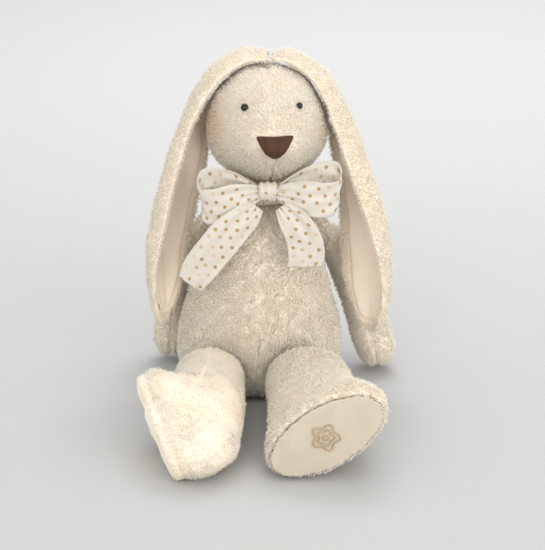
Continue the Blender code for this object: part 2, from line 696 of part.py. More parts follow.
def build_ribbon():
    """Band around the neck, a knot, two loops, and two tails that hang from the knot."""
    count = 32
    centre = np.array(NECK) - (0, 0, BAND_DROP)
    outer, inner = [], []
    for r, out in ((BAND_INNER + RIBBON, outer), (BAND_INNER, inner)):
        for up in (-BAND_HEIGHT / 2, BAND_HEIGHT / 2):
            out.append(ring(centre + (0, 0, up), (r, 0, 0), (0, r, 0), count))
    loop = np.array([outer[0], outer[1], inner[1], inner[0], outer[0]])
    tris = grid_triangles(4, count, lambda j, i: j * count + i, True)
    tris += [t for t in grid_triangles(2, count,
             lambda j, i: (3 if j == 0 else 0) * count + i, True)]
    solid("ribbon_neck_band", loop[:4].reshape(-1, 3), tris, RIBBON_LOOK)

    knot, size = np.array(KNOT), np.array(KNOT_SIZE) / 2
    rings = [ring(knot + (size[0] * x, 0, 0), (0, size[1] * r, 0), (0, 0, size[2] * r), 12)
             for x, r in ((-1.0, 0.72), (-0.7, 0.95), (0, 1.0), (0.7, 0.95), (1.0, 0.72))]
    ends = knot - (size[0], 0, 0), knot + (size[0], 0, 0)
    solid("ribbon_knot", *closed_skin(ends[0], np.array(rings), ends[1]), RIBBON_LOOK)

    # each loop: out from the knot, around its end and back behind itself
    for side, reach, rise in (("left", 42.0, 3.0), ("right", 40.0, -3.0)):
        sign = SIDES[side]
        start = knot + (sign * (size[0] + LOOP_CLEAR), 0, 0)
        shape = [(0, -2.6, 5.5), (0.16, -5.5, 8.5), (0.42, -9.0, 13.5), (0.72, -9.5, 17.0),
                 (0.93, -6.5, 18.5), (1.0, -1.5, 19.0), (0.93, 3.0, 18.0),
                 (0.72, 4.2, 16.0), (0.42, 3.6, 12.5), (0.16, 3.0, 8.0), (0, 2.4, 5.0)]
        path = [start + (sign * reach * x, y, rise * x) for x, y, _ in shape]
        half = [(0, 0, h) for _, _, h in shape]
        strip(f"ribbon_loop_{side}", path, half)

    # tails: centre, then the half-width vector as a share of half the ribbon's width
    tails = {
        "left": [
            ((17, -51.2, 148.5), (0.36, 0, 0.28)),
            ((23, -54, 142), (0.68, -0.04, 0.36)),
            ((29, -55.5, 133), (0.88, -0.08, 0.32)),
            ((33, -56, 123), (1.0, -0.08, 0.16)),
            ((34, -56, 113), (1.0, -0.08, 0.04)),
            ((32.5, -56, 106), (0.92, -0.08, 0.04)),
        ],
        "right": [
            ((-0.5, -51.2, 148.5), (0.36, 0, -0.28)),
            ((-8, -53.5, 141.5), (0.64, 0.04, -0.48)),
            ((-19, -55.5, 131), (0.76, 0.08, -0.64)),
            ((-30, -56.5, 118), (0.80, 0.08, -0.64)),
            ((-40.5, -56.5, 104), (0.76, 0.08, -0.60)),
            ((-47, -56, 93), (0.60, 0.08, -0.48)),
        ],
    }
    for side, rows in tails.items():
        path = [r[0] for r in rows]
        half = [np.array(r[1]) * RIBBON_WIDTH / 2 for r in rows]
        strip(f"ribbon_tail_{side}", path, half, pivot=path[0])


# ---------------------------------------------------------------- build
def main():
    for old in list(bpy.data.objects):
        bpy.data.objects.remove(old, do_unlink=True)
    build_torso()
    build_head()
    for side in SIDES:
        build_ear(side)
        build_arm(side)
        build_leg(side)
    build_motif()
    build_ribbon()


main()
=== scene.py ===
"""Looks of the seated lop-eared plush bunny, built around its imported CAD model.

Every stuffed part is one skin wrapped round its CAD panels, with its own pile of small
tapered tufts. The ribbon, linings, nose, eyes and embroidery are modelled on the places
that their CAD nodes give. Lengths are in metres; MM turns millimetres into metres.
"""

import json
import math

import bmesh
import bpy
import numpy as np
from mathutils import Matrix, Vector
from mathutils.bvhtree import BVHTree


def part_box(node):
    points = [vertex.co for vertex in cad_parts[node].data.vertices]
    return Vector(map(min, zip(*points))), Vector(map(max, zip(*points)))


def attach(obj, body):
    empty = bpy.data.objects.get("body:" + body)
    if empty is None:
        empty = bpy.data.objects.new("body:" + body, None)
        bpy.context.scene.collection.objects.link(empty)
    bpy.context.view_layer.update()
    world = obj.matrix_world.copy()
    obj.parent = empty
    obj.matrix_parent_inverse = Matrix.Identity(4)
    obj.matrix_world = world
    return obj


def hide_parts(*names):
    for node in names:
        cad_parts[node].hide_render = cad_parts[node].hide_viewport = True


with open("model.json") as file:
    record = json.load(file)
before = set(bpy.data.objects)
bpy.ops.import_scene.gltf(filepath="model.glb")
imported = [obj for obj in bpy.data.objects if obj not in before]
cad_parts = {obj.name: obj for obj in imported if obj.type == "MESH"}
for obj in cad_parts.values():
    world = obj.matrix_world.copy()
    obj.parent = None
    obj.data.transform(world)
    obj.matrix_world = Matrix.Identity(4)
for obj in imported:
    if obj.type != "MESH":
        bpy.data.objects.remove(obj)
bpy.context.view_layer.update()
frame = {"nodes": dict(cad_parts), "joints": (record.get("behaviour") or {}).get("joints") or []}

MM = 0.001
SIDES = {"left": 1.0, "right": -1.0}

# ---------------------------------------------------------------- cloth
VOXEL = 1.7 * MM  # grain of the wrap round a stuffed part
INSET = 2.3 * MM  # the cloth lies this far inside the CAD skin; the pile fills the rest
SEAM_WIDTH = 1.1 * MM
FLOOR_CLEAR = 0.4 * MM  # cloth keeps this far above the floor, and pile the next
PILE_CLEAR = 0.15 * MM
SHOULDER_REACH = 22 * MM  # how much of an arm is drawn in at its root
LEAST_PILE = 0.22  # shorter tufts than this share are left out
RIBBON_WIDTH = 25.0 * MM
RIBBON_THICK = 0.45 * MM
PLEAT_FADE = 14 * MM  # pleats die away along this length
# patches of painted warm shade on the face: x and z of the middle and of the spread in mm, then
# strength
PAINTED_SHADE_PATCHES = (((-31, 201), (8, 20), 0.8), ((46, 188), (6, 16), 0.5))

# ---------------------------------------------------------------- colours (linear)
PILE_TIP = (0.975, 0.925, 0.825)
# the root end of the pile is painted crevice shade, warmer and darker than the tips
PILE_ROOT_SHADE = (0.90, 0.73, 0.53)
# painted warm shade, laid on under the chin and on the cheeks
PILE_PAINTED_SHADE = (0.80, 0.55, 0.34)
# painted crevice shade as well, blotched with the root colour at the root end
SKIN_ROOT_SHADE = (0.96, 0.86, 0.72)
LINING_TONE = (0.99, 0.865, 0.74)
VELOUR_TONE = (0.56, 0.50, 0.40)
SATIN_WHITE = (0.66, 0.615, 0.55)
DOT_GOLD = (0.42, 0.265, 0.10)
DOT_PALE = (0.66, 0.56, 0.39)
NOSE_BROWN = (0.062, 0.026, 0.012)
STITCH_TAUPE = (0.40, 0.29, 0.175)


# ---------------------------------------------------------------- numbers that repeat
def waves(points, size, seed, count=14):
    """A smooth, repeatable bumpiness between about -1 and 1 whose bumps are size apart."""
    rng = np.random.default_rng(seed)
    ways = rng.normal(size=(count, 3))
    ways /= np.linalg.norm(ways, axis=1, keepdims=True)
    pitch = rng.uniform(0.6, 1.5, count) * 2 * math.pi / size
    phase = rng.uniform(0, 2 * math.pi, count)
    return np.sin(points @ (ways * pitch[:, None]).T + phase).sum(axis=1) / math.sqrt(count)


def unit(v):
    v = np.asarray(v, float)
    return v / np.maximum(np.linalg.norm(v, axis=-1, keepdims=True), 1e-12)


def through(points, count):
    """A smooth curve (Catmull-Rom) through some points, read at count even steps."""
    p = np.asarray(points, float)
    p = np.vstack([2 * p[0] - p[1], p, 2 * p[-1] - p[-2]])
    out = []
    for t in np.linspace(0, len(p) - 3 - 1e-9, count):
        k = int(t)
        f = t - k
        a, b, c, d = p[k : k + 4]
        out.append(0.5 * (2 * b + (c - a) * f + (2 * a - 5 * b + 4 * c - d) * f**2
                          + (3 * b - a - 3 * c + d) * f**3))
    return np.array(out)


# ---------------------------------------------------------------- places in the frame
def corners(node):
    return (np.array(corner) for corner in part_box(node))


def middle_of(node):
    low, high = corners(node)
    return (low + high) / 2


def pivot(name):
    """Where a joint turns."""
    return np.array(next(j["pos_m"] for j in frame["joints"] if j["name"] == name))


# ---------------------------------------------------------------- materials
class Look:
    """A node material with small helpers for its procedural parts."""

    def __init__(self, name, roughness, **constants):
        self.material = bpy.data.materials.new(name)
        self.material.use_nodes = True
        self.tree = self.material.node_tree
        self.bsdf = self.tree.nodes["Principled BSDF"]
        self.bsdf.inputs["Roughness"].default_value = roughness
        for socket, value in constants.items():
            self.bsdf.inputs[socket.replace("_", " ")].default_value = value
        self.where = self.add("ShaderNodeTexCoord").outputs["Object"]

    def add(self, kind, **settings):
        node = self.tree.nodes.new(kind)
        for key, value in settings.items():
            setattr(node, key, value)
        return node

    def join(self, out, socket):
        self.tree.links.new(out, socket)

    def noise(self, per_metre, detail=3.0, stretch=None):
        where = self.where
        if stretch:
            mapping = self.add("ShaderNodeMapping")
            mapping.inputs["Scale"].default_value = stretch
            self.join(where, mapping.inputs["Vector"])
            where = mapping.outputs["Vector"]
        node = self.add("ShaderNodeTexNoise")
        node.inputs["Scale"].default_value = per_metre
        node.inputs["Detail"].default_value = detail
        self.join(where, node.inputs["Vector"])
        return node.outputs["Fac"]

    def math(self, operation, a, b=None):
        node = self.add("ShaderNodeMath", operation=operation)
        for socket, value in zip(node.inputs, (a, b)):
            if value is None:
                continue
            if isinstance(value, (int, float)):
                socket.default_value = value
            else:
                self.join(value, socket)
        return node.outputs[0]

    def mix(self, share, a, b):
        node = self.add("ShaderNodeMix", data_type="RGBA")
        for socket, value in ((node.inputs[6], a), (node.inputs[7], b)):
            if isinstance(value, tuple):
                socket.default_value = (*value, 1.0)
            else:
                self.join(value, socket)
        self.join(share, node.inputs[0])
        return node.outputs[2]

    def band(self, value, low, high):
        node = self.add("ShaderNodeMapRange", interpolation_type="SMOOTHSTEP")
        self.join(value, node.inputs["Value"])
        node.inputs["From Min"].default_value = low
        node.inputs["From Max"].default_value = high
        return node.outputs["Result"]

    def colour(self, out):
        self.join(out, self.bsdf.inputs["Base Color"])

    def bump(self, height, distance, strength=1.0):
        node = self.add("ShaderNodeBump")
        node.inputs["Distance"].default_value = distance
        node.inputs["Strength"].default_value = strength
        self.join(height, node.inputs["Height"])
        self.join(node.outputs["Normal"], self.bsdf.inputs["Normal"])

    def attribute(self, name):
        return self.add("ShaderNodeAttribute", attribute_name=name).outputs["Fac"]


def plush_look():
    """Cream pile: warmer and darker at the roots, where the colour is painted crevice shade, pale
    at the tips, a little uneven from place to place.
    """
    look = Look("plush", 0.95, Sheen_Weight=0.9, Sheen_Roughness=0.6)
    look.bsdf.inputs["Sheen Tint"].default_value = (1.0, 0.95, 0.87, 1.0)
    tip = look.attribute("pile_tip")
    blotch = look.band(look.noise(45.0, 2.0), 0.35, 0.75)
    pale = look.mix(blotch, PILE_TIP, tuple(0.95 * c for c in PILE_TIP))
    # painted crevice shade: roots warm and dark, blotched between two tones; tips pale
    plain = look.mix(tip, look.mix(blotch, PILE_ROOT_SHADE, SKIN_ROOT_SHADE), pale)
    # painted warm shade: the pile turns tan under the chin and on the cheeks
    look.colour(look.mix(look.attribute("painted_shade"), plain, PILE_PAINTED_SHADE))
    look.bump(look.noise(1500.0, 2.0), 0.0004, 0.6)
    return look.material


def lining_look():
    """Smooth peach satin with a faint pull along the ear."""
    look = Look("lining", 0.55, Sheen_Weight=0.4, Sheen_Roughness=0.35)
    drift = look.band(look.noise(28.0, 2.0, (1, 1, 0.25)), 0.3, 0.7)
    look.colour(look.mix(drift, LINING_TONE, tuple(0.93 * c for c in LINING_TONE)))
    weave = look.noise(2600.0, 1.0, (1, 1, 0.18))
    look.bump(weave, 0.00012, 0.5)
    return look.material


def velour_look():
    """Short-pile velour, brushed in soft patches."""
    look = Look("velour", 0.85, Sheen_Weight=0.55, Sheen_Roughness=0.4)
    patch = look.band(look.noise(70.0, 3.0), 0.35, 0.68)
    look.colour(look.mix(patch, VELOUR_TONE, tuple(1.07 * c for c in VELOUR_TONE)))
    look.bump(look.noise(2200.0, 3.0), 0.0003, 0.7)
    return look.material


def satin_look():
    """White satin ribbon with staggered foil dots, some bright and some rubbed pale."""
    look = Look("ribbon_satin", 0.42, Sheen_Weight=0.15)
    uv = look.add("ShaderNodeUVMap", uv_map="cloth").outputs["UV"]
    parts = look.add("ShaderNodeSeparateXYZ")
    look.join(uv, parts.inputs[0])
    pitch, row = 9.0, 5.6
    along = look.math("DIVIDE", parts.outputs[0], pitch)
    lane = look.math("DIVIDE", parts.outputs[1], row)
    lane_id = look.math("FLOOR", lane)
    shift = look.math("MULTIPLY", lane_id, 0.5)
    along = look.math("ADD", along, shift)
    along_id = look.math("FLOOR", along)
    ids = look.add("ShaderNodeCombineXYZ")
    look.join(along_id, ids.inputs[0])
    look.join(lane_id, ids.inputs[1])
    luck = look.add("ShaderNodeTexWhiteNoise", noise_dimensions="3D")
    look.join(ids.outputs[0], luck.inputs["Vector"])
    stray = look.add("ShaderNodeSeparateColor")
    look.join(luck.outputs["Color"], stray.inputs[0])
    du = look.math("SUBTRACT", look.math("FRACT", along), 0.5)
    du = look.math("MULTIPLY", look.math("ADD", du, look.math(
        "MULTIPLY", look.math("SUBTRACT", stray.outputs[0], 0.5), 0.42)), pitch)
    dv = look.math("SUBTRACT", look.math("FRACT", lane), 0.5)
    dv = look.math("MULTIPLY", look.math("ADD", dv, look.math(
        "MULTIPLY", look.math("SUBTRACT", stray.outputs[1], 0.5), 0.30)), row)
    away = look.math("SQRT", look.math("ADD", look.math("MULTIPLY", du, du),
                                       look.math("MULTIPLY", dv, dv)))
    outside = look.band(away, 1.22, 1.42)
    dot = look.mix(look.band(luck.outputs["Value"], 0.35, 0.9), DOT_GOLD, DOT_PALE)
    look.colour(look.mix(outside, dot, SATIN_WHITE))
    weave = look.add("ShaderNodeTexWave", wave_type="BANDS", bands_direction="X")
    weave.inputs["Scale"].default_value = 2.2
    look.join(uv, weave.inputs["Vector"])
    look.bump(weave.outputs["Fac"], 0.00005, 0.3)
    return look.material


def thread_look(name, colour, roughness):
    """Embroidery thread: glossy twisted strands, each a little lighter or darker."""
    look = Look(name, roughness, Specular_IOR_Level=0.3)
    strand = look.attribute("strand")
    lit = tuple(1.45 * c for c in colour)
    look.colour(look.mix(strand, colour, lit))
    look.bump(look.noise(5200.0, 2.0), 0.00012, 0.5)
    return look.material


def bead_look():
    """Black bead with a clear coat and the faintest dust."""
    look = Look("eye_bead", 0.14, Coat_Weight=0.25, Coat_Roughness=0.05, Specular_IOR_Level=0.35)
    dust = look.band(look.noise(900.0, 2.0), 0.55, 0.8)
    look.colour(look.mix(dust, (0.006, 0.006, 0.007), (0.02, 0.019, 0.018)))
    return look.material


LOOKS = {
    "plush": plush_look(),
    "lining": lining_look(),
    "velour": velour_look(),
    "ribbon_satin": satin_look(),
    "nose_thread": thread_look("nose_thread", NOSE_BROWN, 0.55),
    "motif_thread": thread_look("motif_thread", STITCH_TAUPE, 0.6),
    "eye_bead": bead_look(),
}


# ---------------------------------------------------------------- meshes
def mesh_object(name, points, faces, slot):
    mesh = bpy.data.meshes.new(name)
    mesh.from_pydata(np.asarray(points).tolist(), [], [tuple(int(i) for i in f) for f in faces])
    mesh.shade_smooth()
    mesh.materials.append(LOOKS[slot])
    made = bpy.data.objects.new(name, mesh)
    bpy.context.scene.collection.objects.link(made)
    return made


def settle(piece, body, nodes):
    """Says what a finished piece rides on and stands for."""
    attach(piece, body)
    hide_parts(*nodes)


def set_attribute(mesh, name, values):
    layer = mesh.attributes.get(name) or mesh.attributes.new(name, "FLOAT", "POINT")
    layer.data.foreach_set("value", np.asarray(values, np.float32))


def node_tree_of(name):
    mesh = frame["nodes"][name].data
    mesh.calc_loop_triangles()
    points = [tuple(v.co) for v in mesh.vertices]
    return BVHTree.FromPolygons(points, [tuple(t.vertices) for t in mesh.loop_triangles])


def distances(points, tree):
    """How far each point is from a surface."""
    return np.array([tree.find_nearest(p)[3] for p in points.tolist()])


def biggest_part(bm):
    """Deletes every loose part of a mesh but the one with the most vertices."""
    seen, best = set(), []
    for start in bm.verts:
        if start in seen:
            continue
        seen.add(start)
        part, edge = [start], [start]
        while edge:
            v = edge.pop()
            for e in v.link_edges:
                w = e.other_vert(v)
                if w not in seen:
                    seen.add(w)
                    part.append(w)
                    edge.append(w)
        if len(part) > len(best):
            best = part
    keep = set(best)
    bmesh.ops.delete(bm, geom=[v for v in bm.verts if v not in keep], context="VERTS")


def wrapped(nodes, voxel, rounds):
    """One closed smooth skin round some CAD nodes, as points, triangles-or-quads, normals."""
    bm = bmesh.new()
    for name in nodes:
        bm.from_mesh(frame["nodes"][name].data)
    bmesh.ops.remove_doubles(bm, verts=bm.verts, dist=1e-6)
    mesh = bpy.data.meshes.new("wrap")
    bm.to_mesh(mesh)
    bm.free()
    made = bpy.data.objects.new("wrap", mesh)
    bpy.context.scene.collection.objects.link(made)
    remesh = made.modifiers.new("remesh", "REMESH")
    remesh.mode = "VOXEL"
    remesh.voxel_size = voxel
    smooth = made.modifiers.new("smooth", "SMOOTH")
    smooth.factor = 0.5
    smooth.iterations = rounds
    graph = bpy.context.evaluated_depsgraph_get()
    done = bpy.data.meshes.new_from_object(made.evaluated_get(graph))
    bm = bmesh.new()
    bm.from_mesh(done)
    biggest_part(bm)
    bm.normal_update()
    bm.verts.index_update()
    points = np.array([v.co[:] for v in bm.verts])
    normals = np.array([v.normal[:] for v in bm.verts])
    faces = [tuple(v.index for v in f.verts) for f in bm.faces]
    bm.free()
    bpy.data.objects.remove(made)
    bpy.data.meshes.remove(mesh)
    bpy.data.meshes.remove(done)
    return points, faces, normals


def seam_share(points, nodes):
    """1 on the line where two of the panels meet, falling to 0 beside it."""
    away = np.sort(np.stack([distances(points, node_tree_of(n)) for n in nodes]), axis=0)
    return np.exp(-(((away[1] - away[0]) / SEAM_WIDTH) ** 2))


# ---------------------------------------------------------------- pile
class Pile:
    """How one part's pile looks: tuft length, thickness, spacing, lie and curl."""

    def __init__(self, length, thick, per_mm2, lean, curl, clump=3.2 * MM):
        self.length = length
        self.thick = thick
        self.per_mm2 = per_mm2
        self.lean = lean
        self.curl = curl
        self.clump = clump


CURLY = Pile(3.5 * MM, 0.42 * MM, 0.80, 0.60, 0.62)
SILKY = Pile(4.0 * MM, 0.25 * MM, 1.05, 1.10, 0.12, 2.4 * MM)
SHORT = Pile(3.1 * MM, 0.34 * MM, 0.85, 0.55, 0.50)
NAPPED = Pile(2.7 * MM, 0.27 * MM, 0.95, 0.55, 0.30)


def triangles_of(faces):
    out = []
    for f in faces:
        out.append((f[0], f[1], f[2]))
        if len(f) == 4:
            out.append((f[0], f[2], f[3]))
    return np.array(out)


def tufts(points, faces, normals, shortness, pile, lie, seed):
    """Tapered three-sided tufts: their points, faces and how near each point is to a tip."""
    rng = np.random.default_rng(seed)
    tris = triangles_of(faces)
    a, b, c = (points[tris[:, k]] for k in range(3))
    area = np.linalg.norm(np.cross(b - a, c - a), axis=1) / 2
    total = int(area.sum() / MM**2 * pile.per_mm2)
    edges = np.cumsum(area)
    spots = (np.arange(total) + rng.uniform(0, 1, total)) / total * edges[-1]
    pick = np.minimum(np.searchsorted(edges, spots), len(tris) - 1)
    r1 = np.sqrt(rng.uniform(0, 1, total))
    r2 = rng.uniform(0, 1, total)
    w = np.stack([1 - r1, r1 * (1 - r2), r1 * r2], axis=1)[:, :, None]
    root = (points[tris[pick]] * w).sum(axis=1)
    normal = unit((normals[tris[pick]] * w).sum(axis=1))
    short = (shortness[tris[pick]] * w[:, :, 0]).sum(axis=1)
    keep = short > LEAST_PILE
    root, normal, short = root[keep], normal[keep], short[keep]
    total = len(root)

    comb = lie(root)
    comb = comb - normal * (comb * normal).sum(axis=1, keepdims=True)
    swirl = np.stack([waves(root, pile.clump * 2.2, seed + k) for k in range(3)], axis=1)
    swirl = swirl - normal * (swirl * normal).sum(axis=1, keepdims=True)
    way = unit(normal + comb * pile.lean + swirl * pile.curl * 0.55
               + rng.normal(size=(total, 3)) * (0.06 + 0.13 * pile.curl))
    bend = unit(swirl + rng.normal(size=(total, 3)) * 0.5) * pile.curl
    tall = pile.length * short * rng.uniform(0.72, 1.12, total)
    tall = tall * (1 + 0.16 * waves(root, pile.clump * 1.5, seed + 9))
    tall = tall[:, None]
    across = unit(np.cross(way, rng.normal(size=(total, 3))))
    beside = np.cross(way, across)
    middle = root + way * tall * 0.52 + bend * tall * 0.10
    tip = root + way * tall * (1 - 0.12 * pile.curl) + bend * tall * 0.34
    start = root - normal * 0.5 * MM
    thick = pile.thick * rng.uniform(0.75, 1.25, total)[:, None]
    rings = []
    for centre, wide in ((start, 1.0), (middle, 0.82)):
        for k in range(3):
            turn = 2 * math.pi * k / 3
            out = across * math.cos(turn) + beside * math.sin(turn)
            rings.append(centre + out * thick * wide)
    block = np.stack([*rings, tip], axis=1)
    share = np.tile([0.25] * 3 + [0.85] * 3 + [1.0], (total, 1))
    share = share * (0.86 + 0.14 * rng.uniform(0, 1, (total, 1)))
    base = np.arange(total)[:, None] * 7
    quads, caps = [], []
    for k in range(3):
        j = (k + 1) % 3
        quads.append(np.concatenate([base + k, base + j, base + 3 + j, base + 3 + k], axis=1))
        caps.append(np.concatenate([base + 3 + k, base + 3 + j, base + 6], axis=1))
    foot = np.concatenate([base + 2, base + 1, base], axis=1)
    tris = np.concatenate([*caps, foot])
    return block.reshape(-1, 3), np.concatenate(quads), tris, share.ravel()


def painted_shade_share(points):
    """How much painted warm shade the pile takes: most under the chin, then on the cheeks beside
    the ears.
    """
    x, _, z = points.T
    warm_shade = np.exp(-(((z - pivot("head_nod")[2]) / (9 * MM)) ** 2)) * 0.75
    for (at_x, at_z), (wide, tall), strength in PAINTED_SHADE_PATCHES:
        off = ((x - at_x * MM) / (wide * MM)) ** 2 + ((z - at_z * MM) / (tall * MM)) ** 2
        warm_shade = warm_shade + np.exp(-off) * strength
    return np.clip(warm_shade, 0, 0.85)


def furry(name, points, faces, normals, shortness, pile, lie, seed):
    """A cloth skin with its pile, as one mesh."""
    tuft_points, quads, tris, share = tufts(points, faces, normals, shortness, pile, lie, seed)
    tuft_points[:, 2] = np.maximum(tuft_points[:, 2], PILE_CLEAR)
    n = len(points)
    made = bpy.data.meshes.new(name)
    skin = [f for f in faces if len(f) == 4]
    skin_tris = [f for f in faces if len(f) == 3]
    four = np.concatenate([np.array(skin, int).reshape(-1, 4), quads + n])
    three = np.concatenate([np.array(skin_tris, int).reshape(-1, 3), tris + n])
    everything = np.concatenate([points, tuft_points])
    made.vertices.add(len(everything))
    made.vertices.foreach_set("co", everything.astype(np.float32).ravel())
    loops = np.concatenate([four.ravel(), three.ravel()]).astype(np.int32)
    made.loops.add(len(loops))
    made.loops.foreach_set("vertex_index", loops)
    sizes = np.concatenate([np.full(len(four), 4), np.full(len(three), 3)])
    starts = np.concatenate([[0], np.cumsum(sizes)[:-1]]).astype(np.int32)
    made.polygons.add(len(sizes))
    made.polygons.foreach_set("loop_start", starts)
    made.update(calc_edges=True)
    made.validate()
    made.shade_smooth()
    # the skin and the tuft roots take the painted crevice shade; the skin more so where the pile
    # is short
    set_attribute(made, "pile_tip", np.concatenate([0.25 + 0.2 * shortness, share]))
    warm_shade = np.zeros(len(everything))
    # only the head and the torso take the painted warm shade
    if name in ("head_plush", "torso_plush"):
        warm_shade = painted_shade_share(everything)
    set_attribute(made, "painted_shade", warm_shade)
    made.materials.append(LOOKS["plush"])
    piece = bpy.data.objects.new(name, made)
    bpy.context.scene.collection.objects.link(piece)
    return piece


def drawn_in(points, at, trees, reach):
    """The root of a limb, drawn onto the cloth it is sewn to."""
    away = np.linalg.norm(points - at, axis=1)
    for k in np.flatnonzero(away < reach):
        cloth = min((tree.find_nearest(points[k]) for tree in trees), key=lambda hit: hit[3])[0]
        points[k] += (np.array(cloth) - points[k]) * (1 - away[k] / reach)
    return points


def stuffed(name, body, nodes, panels, pile, lie, seed, bare=(), rounds=36, sunk=INSET,
            sewn_at=None, sewn_to=()):
    """A stuffed plush part: skin, seams and pile. bare nodes keep the pile off themselves."""
    points, faces, normals = wrapped(nodes, VOXEL, rounds)
    seam = seam_share(points, panels)
    dent = waves(points, 26 * MM, seed) * 0.45 * MM + waves(points, 7 * MM, seed + 1) * 0.22 * MM
    inset = sunk + 1.5 * MM * seam
    points = points - normals * inset[:, None] + normals * dent[:, None]
    points[:, 2] = np.maximum(points[:, 2], FLOOR_CLEAR)
    if sewn_at is not None:
        points = drawn_in(points, sewn_at, [node_tree_of(n) for n in sewn_to],
                          SHOULDER_REACH)
    shortness = 1.0 - 0.55 * seam
    for node in bare:
        away = distances(points, node_tree_of(node))
        shortness *= np.clip((away - 1.0 * MM) / (3.0 * MM), 0, 1)
    piece = furry(name, points, faces, normals, shortness, pile, lie, seed)
    settle(piece, body, nodes)


def down_the_body(points):
    return np.tile([0.0, 0.0, -1.0], (len(points), 1))


def from_the_nose(points):
    """Face pile runs away from the nose, then down."""
    away = unit(points - middle_of("nose"))
    return unit(away + np.array([0.0, 0.0, -0.45]))


def along_leg(points):
    return np.tile([0.0, -0.75, -0.45], (len(points), 1))


# ---------------------------------------------------------------- stuffed parts
def build_torso():
    panels = [f"torso_{end}_{side}" for end in ("front", "back") for side in SIDES]
    stuffed("torso_plush", "torso", [*panels, "torso_seat", "torso_filling"], panels,
            CURLY, down_the_body, 11)


def build_head():
    panels = ["face_left", "face_right", "head_back"]
    stuffed("head_plush", "head", [*panels, "head_filling"], panels, SILKY,
            from_the_nose, 23, bare=("nose",), rounds=14, sunk=1.3 * MM)


def build_arm(side):
    panels = [f"arm_{side}_outer", f"arm_{side}_inner"]
    stuffed(f"arm_{side}_plush", f"arm_{side}", [*panels, f"arm_{side}_filling"], panels,
            SHORT, down_the_body, 31 if side == "left" else 37,
            sewn_at=pivot(f"arm_{side}_raise"),
            sewn_to=[f"torso_front_{side}", f"torso_back_{side}"])


def build_leg(side):
    panels = [f"leg_{side}_outer", f"leg_{side}_inner"]
    sole = f"sole_{side}"
    seed = 41 if side == "left" else 47
    # the sole is part of the wrapped shape, and keeps its own cloth on top
    points, faces, normals = wrapped([*panels, sole, f"leg_{side}_filling"], VOXEL, 30)
    seam = seam_share(points, panels)
    near_sole = distances(points, node_tree_of(sole))
    under_sole = np.clip(1.5 - near_sole / (2.0 * MM), 0, 1)
    points = points - normals * (INSET + 1.2 * MM * seam + 3.2 * MM * under_sole)[:, None]
    points += normals * (waves(points, 24 * MM, seed) * 0.4 * MM)[:, None]
    points[:, 2] = np.maximum(points[:, 2], FLOOR_CLEAR)
    shortness = 1.0 - 0.5 * seam
    shortness *= np.clip((near_sole - 0.2 * MM) / (2.0 * MM), 0, 1)
    piece = furry(f"leg_{side}_plush", points, faces, normals, shortness, SHORT,
                  along_leg, seed)
    settle(piece, f"leg_{side}", [*panels, f"leg_{side}_filling"])
    build_sole(side)


def build_sole(side):
    """Velour sole, slightly domed, with the gathers of its hand-drawn seam at the rim."""
    node = f"sole_{side}"
    points, faces, normals = wrapped([node], 0.95 * MM, 6)
    middle = points.mean(axis=0)
    flat = points - middle
    _, _, axes = np.linalg.svd(flat - flat.mean(axis=0), full_matrices=False)
    u, v = flat @ axes[0], flat @ axes[1]
    reach = np.hypot(u / np.abs(u).max(), v / np.abs(v).max())
    turn = np.arctan2(v / np.abs(v).max(), u / np.abs(u).max())
    rim = np.clip((reach - 0.78) / 0.2, 0, 1)
    gather = np.sin(turn * 40 + 2.6 * np.sin(turn * 5)) * rim * 0.24 * MM
    gather *= 1 + 0.6 * np.sin(turn * 3 + 1)
    points = points + normals * (gather + waves(points, 16 * MM, 5) * 0.25 * MM)[:, None]
    points[:, 2] = np.maximum(points[:, 2], 0.2 * MM)
    piece = mesh_object(f"{node}_velour", points, faces, "velour")
    settle(piece, f"leg_{side}", [node])


# ---------------------------------------------------------------- ears
def build_ear(side):
    body = f"ear_{side}"
    outer, lining = f"ear_{side}_outer", f"ear_{side}_lining"
    seed = 53 if side == "left" else 59
    points, faces, normals = wrapped([outer], 1.2 * MM, 5)
    away = distances(points, node_tree_of(lining))
    points = points - normals * (0.5 * MM)
    points += normals * (waves(points, 22 * MM, seed) * 0.35 * MM)[:, None]
    # the root end is drawn in over the crown and thinned
    root = pivot(f"ear_{side}_lift")
    near = np.clip(1 - np.abs(points[:, 0] - root[0]) / (9 * MM), 0, 1)
    points[:, 0] -= SIDES[side] * near**2 * 3.4 * MM
    points[:, 2] -= near * np.clip((points[:, 2] - root[2]) / (4 * MM), 0, 1) * 1.8 * MM
    shortness = 0.95 * np.clip((away - 1.3 * MM) / (2.2 * MM), 0, 1)
    piece = furry(f"ear_{side}_plush", points, faces, normals, shortness, NAPPED,
                  down_the_body, seed)
    settle(piece, body, [outer])
    build_lining(body, lining)


def build_lining(body, node):
    """Satin lining: the CAD sheet, rounded, with soft creases along the ear."""
    bm = bmesh.new()
    bm.from_mesh(frame["nodes"][node].data)
    bmesh.ops.remove_doubles(bm, verts=bm.verts, dist=1e-6)
    bmesh.ops.join_triangles(bm, faces=bm.faces, cmp_seam=False, cmp_sharp=False,
                             cmp_uvs=False, cmp_vcols=False, cmp_materials=False,
                             angle_face_threshold=0.9, angle_shape_threshold=1.2)
    mesh = bpy.data.meshes.new(node)
    bm.to_mesh(mesh)
    bm.free()
    rough = bpy.data.objects.new("rough", mesh)
    bpy.context.scene.collection.objects.link(rough)
    divide = rough.modifiers.new("divide", "SUBSURF")
    divide.levels = divide.render_levels = 3
    graph = bpy.context.evaluated_depsgraph_get()
    fine = bpy.data.meshes.new_from_object(rough.evaluated_get(graph))
    points = np.array([v.co[:] for v in fine.vertices])
    faces = [tuple(p.vertices) for p in fine.polygons]
    bpy.data.objects.remove(rough)
    crease = waves(points * (1.0, 1.0, 0.22), 9 * MM, 71) * 0.35 * MM
    crease += waves(points * (1.0, 1.0, 0.4), 22 * MM, 72) * 0.5 * MM
    points[:, 0] += crease
    piece = mesh_object(f"{node}_satin", points, faces, "lining")
    settle(piece, body, [node])


